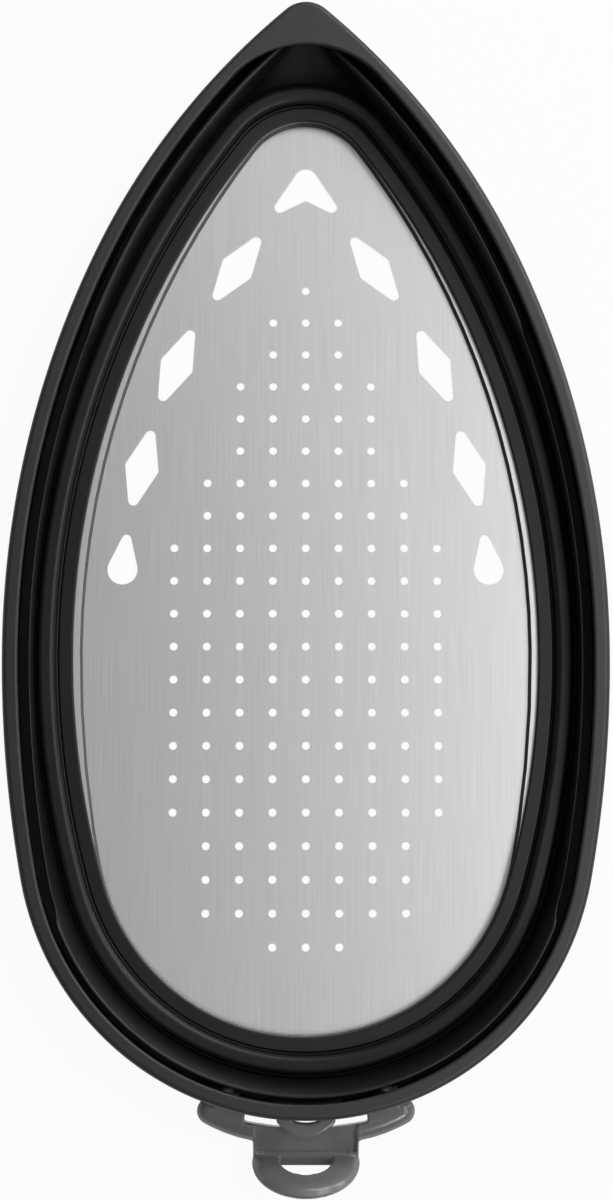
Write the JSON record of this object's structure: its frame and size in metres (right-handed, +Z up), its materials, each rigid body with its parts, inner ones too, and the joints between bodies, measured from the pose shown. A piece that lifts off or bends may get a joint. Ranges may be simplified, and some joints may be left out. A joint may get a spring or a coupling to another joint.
{
  "type": "iron shoe cover",
  "caption": "Boat-shaped slip-on cover for a steam iron's sole: black rim and rubber liner, perforated brushed metal plate, and a grey pull strap at the heel.",
  "frame": {"origin": "middle of the field of steam holes, on the underside of the sole plate, which is the ironing surface", "axes": "+Y along the length towards the nose, -Y towards the heel with the strap, +Z up through the open mouth where the iron goes in"},
  "size_m": [0.1336, 0.2654, 0.016],
  "materials": {
    "rim_black": "satin moulded, fine grain",
    "liner_rubber": "smooth satin",
    "plate_metal": "brushed along its length",
    "strap_grey": "satin moulded"
  },
  "bodies": {
    "root": {"rim": "rim_black", "liner": "liner_rubber", "sole_plate": "plate_metal", "heel_strap": "strap_grey"}
  },
  "joints": []
}
